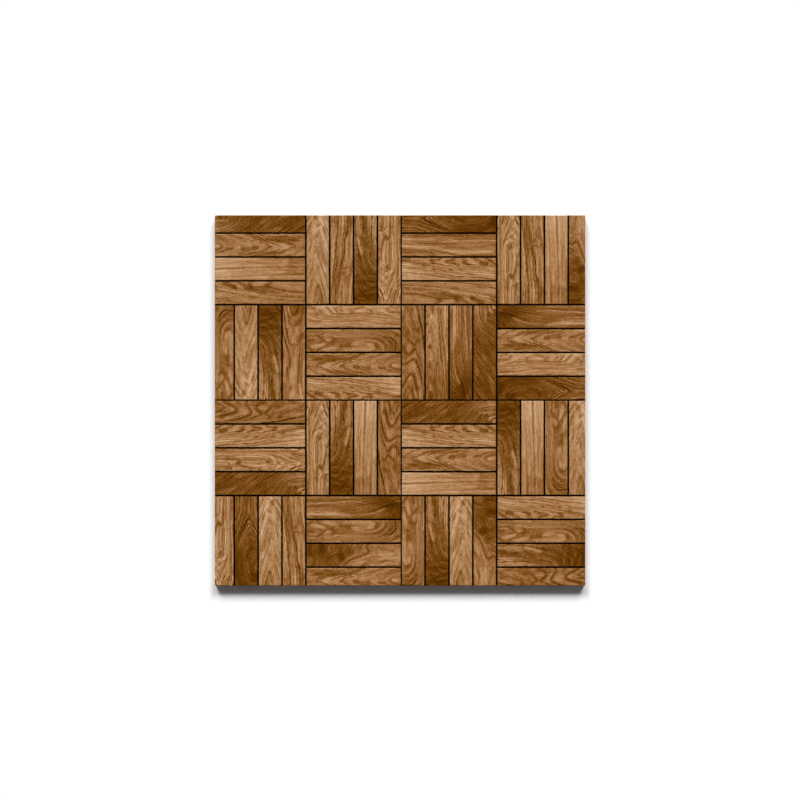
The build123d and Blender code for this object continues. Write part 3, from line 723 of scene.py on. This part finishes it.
# Which board lies where. The blocks are read from the top row, left to right, and a block's
# four boards from its top, or from its left where they stand upright. A board may be turned
# end for end ("turned"), or mirrored along it ("ends swapped") or across it ("sides swapped").
plain = "plain"
turned = "turned"
ends = "ends swapped"
sides = "sides swapped"
laying = (
    ((("dark_arcs", plain), ("arrowheads", turned), ("pale_straight", plain), ("low_hooks", turned)),
     (("chevrons", ends), ("dark_streak", plain), ("dark_end", sides), ("boat_eye", turned)),
     (("knot", plain), ("ribbons", plain), ("top_hooks", plain), ("low_hooks", plain)),
     (("boat_eye", plain), ("dark_streak", ends), ("pale_straight", plain), ("dark_half", turned))),
    ((("round_arcs", turned), ("chevrons", plain), ("dark_end", ends), ("left_eye", plain)),
     (("fine_swirls", plain), ("round_arcs", plain), ("arrowheads", sides), ("top_hooks", turned)),
     (("horseshoes", plain), ("low_flames", plain), ("long_bands", plain), ("dark_arcs", plain)),
     (("long_bands", ends), ("arrowheads", plain), ("fine_swirls", ends), ("knot", turned))),
    ((("horseshoes", turned), ("top_hooks", ends), ("boat_eye", turned), ("dark_arcs", turned)),
     (("boat_eye", plain), ("dark_end", plain), ("pale_straight", sides), ("horseshoes", turned)),
     (("dark_arcs", turned), ("top_hooks", plain), ("arrowheads", plain), ("pale_straight", plain)),
     (("dark_end", ends), ("pale_straight", plain), ("round_arcs", sides), ("chevrons", ends))),
    ((("boat_eye", turned), ("knot", plain), ("chevrons", turned), ("dark_streak", ends)),
     (("long_bands", plain), ("round_arcs", sides), ("dark_half", plain), ("arrowheads", sides)),
     (("round_arcs", plain), ("dark_end", sides), ("chevrons", turned), ("dark_half", plain)),
     (("top_hooks", turned), ("round_arcs", plain), ("dark_end", plain), ("horseshoes", sides))),
)

# The strokes are laid on a little more strongly than drawn, about a middle shade. The fine
# figure is fainter where the wood is dark.
middle_shade = 112
stroke_contrast = 1.12
darkest_shade = 50
shades_to_full_figure = 70
figure_in_the_dark = 0.36
figure_gained = 0.76

# East and south of the pattern's corner, in millimetres as on the boards. How far the rings lie
# apart is read from how much their number rises over a small step.
small_step = 0.2
closest_rings = 1
farthest_rings = 20

board_names = list(boards)
grain_place = np.zeros((len(places), 3))
rings = np.zeros(len(places))
ring_spacing = np.ones(len(places))
vividness = np.ones(len(places))
levels = np.zeros(len(places))
east = (places[:, 0] - pattern_west) / mm
south = (pattern_north - places[:, 1]) / mm
column_of = np.clip(np.floor(east / board_length), 0, blocks_per_side - 1).astype(int)
row_of = np.clip(np.floor(south / board_length), 0, blocks_per_side - 1).astype(int)
for row in range(blocks_per_side):
    for column in range(blocks_per_side):
        lies_along_x = (column + row) % 2 == 0
        east_in_block = east - column * board_length
        south_in_block = south - row * board_length
        along, across = (east_in_block, south_in_block) if lies_along_x else (south_in_block, east_in_block)
        finger_of = np.clip(np.floor(across / board_width), 0, fingers_per_block - 1).astype(int)
        for finger in range(fingers_per_block):
            name, way = laying[row][column][finger]
            board = boards[name]
            own = (column_of == column) & (row_of == row) & (finger_of == finger)
            u = along[own]
            v = across[own] - finger * board_width
            if not lies_along_x:
                v = board_width - v
            if way in (turned, ends):
                u = board_length - u
            if way in (turned, sides):
                v = board_width - v
            on_board = np.column_stack((u, v))
            rings_shown = board.get("rings_shown", 1)
            ring_here = ring_numbers(board, on_board) * rings_shown
            rise_along = ring_numbers(board, on_board + (small_step, 0)) * rings_shown - ring_here
            rise_across = ring_numbers(board, on_board + (0, small_step)) * rings_shown - ring_here
            rings[own] = ring_here
            ring_spacing[own] = np.clip(
                small_step / np.hypot(rise_along, rise_across), closest_rings, farthest_rings)
            levels[own] = middle_shade + stroke_contrast * (brightness(board, on_board) - middle_shade)
            out_of_dark = np.clip((levels[own] - darkest_shade) / shades_to_full_figure, 0, 1)
            vividness[own] = board.get("vivid", 1) * (figure_in_the_dark + figure_gained * out_of_dark)
            grain_place[own] = np.column_stack((u, v, np.full(len(u), board_names.index(name))))

# How many millimetres each point lies from the floor of the nearest joint, along X and along Y.
# Round the outside there is no joint.
far_off = 100
apart = np.full((len(places), 2), float(far_off))
for axis, run in ((0, east), (1, south)):
    for count in range(1, blocks_per_side):
        half_floor = (middle_joint_floor_width if count == 2 else joint_floor_width) / 2 / mm
        apart[:, axis] = np.minimum(apart[:, axis], np.abs(run - count * board_length) - half_floor)
    lies_across = (column_of + row_of + axis) % 2 == 1
    into_block = run - (column_of if axis == 0 else row_of) * board_length
    for count in range(1, fingers_per_block):
        gap = np.abs(into_block - count * board_width) - joint_floor_width / 2 / mm
        apart[:, axis] = np.where(lies_across, np.minimum(apart[:, axis], gap), apart[:, axis])
from_joint = apart.min(axis=1)

# The die's fingers were engraved by hand, so the joints waver a little: three waves are added up,
# each given by its turn per millimetre and by its shift from one joint to the next.
waver_height = 0.035 * mm
waver_waves = ((0.9, 2.1), (0.37, 4.3), (2.3, 1))
waver_reach = 0.75
waver_ends = half_side - 1 * mm
on_top = places[:, 2] > joint_floor - 0.1 * mm
for axis in (0, 1):
    along_joint = places[:, 1 - axis] / mm
    run = east if axis == 0 else south
    line = np.round(run / board_width)
    near_line = np.abs(run - line * board_width) < waver_reach
    at_line = on_top & near_line & (np.abs(places[:, axis]) < waver_ends)
    waver = sum(np.sin(along_joint * turn + line * shift) for turn, shift in waver_waves)
    places[at_line, axis] += waver_height * waver[at_line]

# The dark grain is pressed a hair's depth below the pale, but not right beside a joint.
relief = 0.07 * mm
raised_shade = 128
shades_to_full_relief = 70
flat_beside_joint = 0.5
relief_grows_over = 1.2
darkness = np.clip((raised_shade - levels) / shades_to_full_relief, 0, 1)
off_joint = np.clip((from_joint - flat_beside_joint) / relief_grows_over, 0, 1)
on_faces = places[:, 2] > tile_thickness - near_enough
places[on_faces, 2] -= (darkness * off_joint * relief)[on_faces]
corners.foreach_set("co", places.ravel())

apart_across = np.column_stack((apart, np.zeros(len(places))))
for name, kind, field, values in (
        ("from_joint", "FLOAT_VECTOR", "vector", apart_across),
        ("grain_place", "FLOAT_VECTOR", "vector", grain_place),
        ("ring_number", "FLOAT", "value", rings),
        ("ring_spacing", "FLOAT", "value", ring_spacing),
        ("vividness", "FLOAT", "value", vividness),
        ("brightness", "FLOAT", "value", levels)):
    tile.data.attributes.new(name, kind, "POINT").data.foreach_set(field, values.ravel())

# The shoulders are smooth. The chamfer, the ribs and the pockets keep their crisp edges.
crease_angle = radians(50)
top_of_back = back_chamfer + 0.2 * mm
for face in tile.data.polygons:
    face.use_smooth = True
bpy.context.view_layer.objects.active = tile
tile.select_set(True)
bpy.ops.object.shade_smooth_by_angle(angle=crease_angle)
for edge in tile.data.edges:
    on_the_back = all(places[corner, 2] < top_of_back for corner in edge.vertices)
    edge.use_edge_sharp = edge.use_edge_sharp or on_the_back


# The glaze: one recipe holds the nodes, and sums on its amounts add Math nodes.
class Amount:
    """A number in a recipe, which can be added, taken away, multiplied or divided."""

    def __init__(self, recipe, socket):
        self.recipe = recipe
        self.socket = socket

    def __add__(self, other):
        return self.recipe.sum_of("ADD", self, other)

    def __radd__(self, other):
        return self.recipe.sum_of("ADD", other, self)

    def __sub__(self, other):
        return self.recipe.sum_of("SUBTRACT", self, other)

    def __rsub__(self, other):
        return self.recipe.sum_of("SUBTRACT", other, self)

    def __mul__(self, other):
        return self.recipe.sum_of("MULTIPLY", self, other)

    def __rmul__(self, other):
        return self.recipe.sum_of("MULTIPLY", other, self)

    def __truediv__(self, other):
        return self.recipe.sum_of("DIVIDE", self, other)


class Recipe:
    """The nodes of a material or of the world."""

    def __init__(self, holder):
        self.holder = holder
        holder.use_nodes = True
        self.tree = holder.node_tree
        self.tree.nodes.clear()

    def node(self, kind, settings=None, values=None, output=0):
        """A new node: first its settings, then the values or links of its sockets."""
        made = self.tree.nodes.new(kind)
        for name, setting in (settings or {}).items():
            if name == "stops":
                ramp = made.color_ramp
                while len(ramp.elements) < len(setting):
                    ramp.elements.new(0.5)
                for element, (position, colour) in zip(ramp.elements, setting):
                    element.position = position
                    element.color = (*colour, 1)
            else:
                setattr(made, name, setting)
        for name, value in (values or {}).items():
            if isinstance(value, Amount):
                self.tree.links.new(value.socket, made.inputs[name])
            else:
                made.inputs[name].default_value = value
        return Amount(self, made.outputs[output]) if made.outputs else made

    def sum_of(self, operation, first, second):
        return self.node("ShaderNodeMath", {"operation": operation}, {0: first, 1: second})

    def larger(self, first, second):
        return self.sum_of("MAXIMUM", first, second)

    def smaller(self, first, second):
        return self.sum_of("MINIMUM", first, second)

    def stored(self, name):
        """A number stored at each point of the mesh."""
        return self.node("ShaderNodeAttribute", {"attribute_name": name}, output=2)

    def stored_place(self, name):
        """Three numbers stored at each point of the mesh."""
        return self.node("ShaderNodeAttribute", {"attribute_name": name}, output=1)

    def part_of(self, place, axis):
        return self.node("ShaderNodeSeparateXYZ", {}, {0: place}, output=axis)

    def stretched(self, place, times):
        return self.node("ShaderNodeVectorMath", {"operation": "MULTIPLY"}, {0: place, 1: times})

    def noise(self, place, times, detail=0.0):
        """Noise about nought, mostly between -1 and 1."""
        raw = self.node("ShaderNodeTexNoise", {"noise_dimensions": "3D"}, {
            "Vector": self.stretched(place, times), "Scale": 1.0, "Detail": detail, "Roughness": 0.5})
        return (raw - 0.5) * 4

    def between(self, value, low, high):
        """0 below low and 1 above high, and a smooth rise between them."""
        return self.node("ShaderNodeMapRange", {"interpolation_type": "SMOOTHSTEP"}, {
            "Value": value, "From Min": low, "From Max": high})

    def mixed(self, share, first, second):
        values = {"Factor": share, 6: first, 7: second}
        return self.node("ShaderNodeMix", {"data_type": "RGBA"}, values, output=2)


def ink(red, green, blue):
    """A colour given in screen values, 0 to 255, as the light that it sends back."""
    light = []
    for part in (red, green, blue):
        light.append(((part / 255 + 0.055) / 1.055) ** 2.4 if part > 10 else part / 255 / 12.92)
    return tuple(light)


glaze = Recipe(bpy.data.materials.new("glaze with printed parquet"))
grain = glaze.stored_place("grain_place")
ring = glaze.stored("ring_number")
spacing = glaze.stored("ring_spacing")
vivid = glaze.stored("vividness")
level = glaze.stored("brightness")
board_gap = 7.3

# The growth rings are ragged along the board, as fibres are, and each is dark to its own degree.
# The wood darkens slowly towards the end of a ring, over 2.8 mm at the most, and ends sharply,
# within 0.8 mm.
ragged = glaze.noise(grain, (0.1, 0.5, board_gap)) * 0.2 + glaze.noise(grain, (0.3, 1.4, board_gap)) * 0.09
growth = ring + ragged
to_line = glaze.node("ShaderNodeMath", {"operation": "FRACT"}, {0: growth + 0.5}) - 0.5
before = glaze.larger(to_line * -1, 0.0)
after = glaze.larger(to_line, 0.0)
slow = glaze.larger(spacing / 2.8, 2.0)
sharp = glaze.larger(spacing / 0.8, 6.0)
late_wood = 1 - glaze.between(before * slow + after * sharp, 0.0, 1.0)
grain_far = glaze.stretched(grain, (0.028, 0.05, board_gap))


def ring_noise(ring_value, lines_per_ring, far_times=1.0):
    """Noise that runs in lines along the rings, the longer the smaller far_times is."""
    scaled = glaze.node("ShaderNodeCombineXYZ", {}, {0: ring_value * lines_per_ring, 1: 0.0, 2: 0.0})
    far = glaze.stretched(grain_far, (far_times, far_times, 1.0))
    where = glaze.node("ShaderNodeVectorMath", {"operation": "ADD"}, {0: scaled, 1: far})
    return glaze.noise(where, (1.0, 1.0, 1.0))


strength = glaze.larger(0.65 + 0.7 * ring_noise(growth, 0.8), 0.1)

# The fine lines between the rings are about a millimetre apart everywhere: where the rings lie
# far apart there are more lines to a ring. There they are also fainter, and short streaks along
# the board take their place.
wide = glaze.between(spacing, 3.0, 9.0)
smooth_growth = ring + 0.4 * glaze.noise(grain, (0.2, 1.0, board_gap)) / spacing
fine_lines = 0
for lines_per_ring in (1.6, 3.2, 6.4, 12.8):
    line_size = spacing / lines_per_ring
    shown = glaze.between(line_size, 0.35, 0.65) * (1 - glaze.between(line_size, 1.1, 2.0))
    fine_lines = fine_lines + ring_noise(smooth_growth, lines_per_ring, 1.6) * shown
fine_lines = glaze.smaller(fine_lines, 0.55 * fine_lines + 0.05)
fibres = glaze.noise(grain, (0.12, 0.95, board_gap), 1.0)
pores = glaze.noise(grain, (0.22, 1.4, board_gap), 1.0)
specks = glaze.noise(grain, (0.5, 1.1, board_gap), 2.0)
pore_dashes = glaze.between(pores, 0.25, 0.7)

# Each part of the figure is laid on in steps of brightness, of which 255 go from black to white.
figure = (30 - 15 * wide) * fine_lines + (5 + 8 * wide) * fibres
figure = figure - 30 * late_wood * strength - 29 * pore_dashes
shade = level + 5 + figure * vivid + 4 * pores + 13 * specks

# The inks of the print from dark to pale, each by the brightness that it stands for, 0 to 1.
print_colours = (
    (0.10, (42, 19, 0)), (0.20, (87, 46, 0)), (0.28, (111, 66, 11)), (0.36, (131, 86, 38)),
    (0.45, (154, 108, 65)), (0.53, (173, 128, 86)), (0.61, (189, 148, 108)), (0.70, (207, 172, 134)))
stops = [(position, ink(*colour)) for position, colour in print_colours]
print_colour = glaze.node("ShaderNodeValToRGB", {"stops": stops}, {0: shade / 255})

# The joints are dark, and the ink beside them is a little chipped.
place = glaze.node("ShaderNodeTexCoord", output=3)
apart_in_both = glaze.stored_place("from_joint")
to_joint = glaze.smaller(glaze.part_of(apart_in_both, 0), glaze.part_of(apart_in_both, 1))
chips = glaze.noise(place, (450, 450, 450), 2.0)
out_of_joint = glaze.between(to_joint + chips * 0.1, 0.5, 0.72)
joint_colour = ink(12, 6, 2)
face_colour = glaze.mixed(out_of_joint, (*joint_colour, 1), print_colour)

# The glaze ends a little over a millimetre down the walls. Below it, and on the back, the tile is
# bare fired clay, speckled and a little dusty.
height = glaze.part_of(place, 2)
glaze_runs = glaze.noise(place, (60, 60, 60), 2.0) * (0.3 * mm)
glaze_edge = glaze.between(height + glaze_runs, 7.6 * mm, 7.8 * mm)
clay_specks = glaze.noise(place, (900, 900, 900), 2.0)
clay_clouds = glaze.noise(place, (30, 30, 30), 3.0)
clay_share = glaze.between(clay_specks * 0.5 + clay_clouds * 0.5, -0.9, 0.9)
clay_colour = glaze.mixed(clay_share, (*ink(150, 122, 97), 1), (*ink(180, 153, 128), 1))
colour = glaze.mixed(glaze_edge, clay_colour, face_colour)

roughness = 0.85 - 0.35 * glaze_edge * out_of_joint + 0.04 * fibres * glaze_edge
bump_height = glaze_edge * (shade * 0.01 + 0.1 * pores) + (1 - glaze_edge) * clay_specks * 0.8
bump = glaze.node("ShaderNodeBump", {}, {"Strength": 0.25, "Distance": 0.2 * mm, "Height": bump_height})
clay_and_glaze = glaze.node("ShaderNodeBsdfPrincipled", {}, {
    "Base Color": colour, "Roughness": roughness, "Normal": bump, "Specular IOR Level": 0.04})
dull = glaze.node("ShaderNodeBsdfPrincipled", {}, {
    "Base Color": colour, "Roughness": 0.9, "Specular IOR Level": 0.02})
finish = glaze.node("ShaderNodeMixShader", {}, {0: glaze_edge * out_of_joint, 1: dull, 2: clay_and_glaze})
glaze.node("ShaderNodeOutputMaterial", {}, {"Surface": finish})
tile.data.materials.append(glaze.holder)

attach(tile, "root")
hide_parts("tile")

# The studio
# A white floor that the camera sees as plain white, with the tile's own shadow on it.
bpy.ops.object.select_all(action="DESELECT")
floor_side = 30
bpy.ops.mesh.primitive_plane_add(size=floor_side, location=(0, 0, -0.2 * mm))
floor = bpy.context.object
floor.name = "studio_floor"


def direct_look(recipe):
    """1 where the camera looks, straight or by a reflection or through glass, and 0 elsewhere."""
    look = recipe.node("ShaderNodeLightPath", output=0)
    for output in (3, 6):
        look = recipe.larger(look, recipe.node("ShaderNodeLightPath", output=output))
    return look


paper = Recipe(bpy.data.materials.new("white paper"))
matt_white = paper.node("ShaderNodeBsdfDiffuse", {}, {"Color": (0.97, 0.97, 0.97, 1)})
lift = paper.node("ShaderNodeEmission", {}, {"Color": (1, 1, 1, 1), "Strength": direct_look(paper) * 0.02})
paper_finish = paper.node("ShaderNodeAddShader", {}, {0: matt_white, 1: lift})
paper.node("ShaderNodeOutputMaterial", {}, {"Surface": paper_finish})
floor.data.materials.append(paper.holder)

# Three broad soft lights hang over the top edge of the picture, the middle one higher and weaker,
# so the shadow falls towards the bottom and a little to both sides. They are far off, so the
# floor is even. For each: how far it leans sideways and up the picture and how broad it looks,
# all in degrees, and its power. Where such a far light stands makes no difference.
soft_lights = (
    ("soft_light_west", -30, 56.5, 24, 2.68),
    ("soft_light_middle", 0, 48, 32, 0.5),
    ("soft_light_east", 30, 56.5, 24, 2.68),
)
for lamp_name, lean_sideways, lean_up_the_picture, breadth, power in soft_lights:
    bpy.ops.object.light_add(type="SUN", location=(lean_sideways * 0.02, 1.5, 1.7))
    lamp = bpy.context.object
    lamp.name = lamp_name
    towards = Vector((tan(radians(lean_sideways)), tan(radians(lean_up_the_picture)), 1))
    lamp.rotation_euler = towards.to_track_quat("Z", "Y").to_euler()
    lamp.data.angle = radians(breadth)
    lamp.data.energy = power

world = bpy.data.worlds.new("studio_air")
bpy.context.scene.world = world
air = Recipe(world)
fill = 0.055
air_strength = fill + direct_look(air) * (1 - fill)
sky = air.node("ShaderNodeBackground", {}, {"Color": (1, 1, 1, 1), "Strength": air_strength})
air.node("ShaderNodeOutputWorld", {}, {"Surface": sky})

# The camera looks straight down through a long lens, from so high that it sees 855 mm across,
# and stands half a millimetre up the picture from the tile's middle.
lens = 100
sensor = 36
seen_width = 855 * mm
camera_height = tile_thickness + seen_width * lens / sensor
bpy.ops.object.camera_add(location=(-0.05 * mm, 0.5 * mm, camera_height), rotation=(0, 0, 0))
camera = bpy.context.object
camera.data.lens = lens
camera.data.sensor_width = sensor
bpy.context.scene.camera = camera
bpy.context.scene.view_settings.view_transform = "Standard"
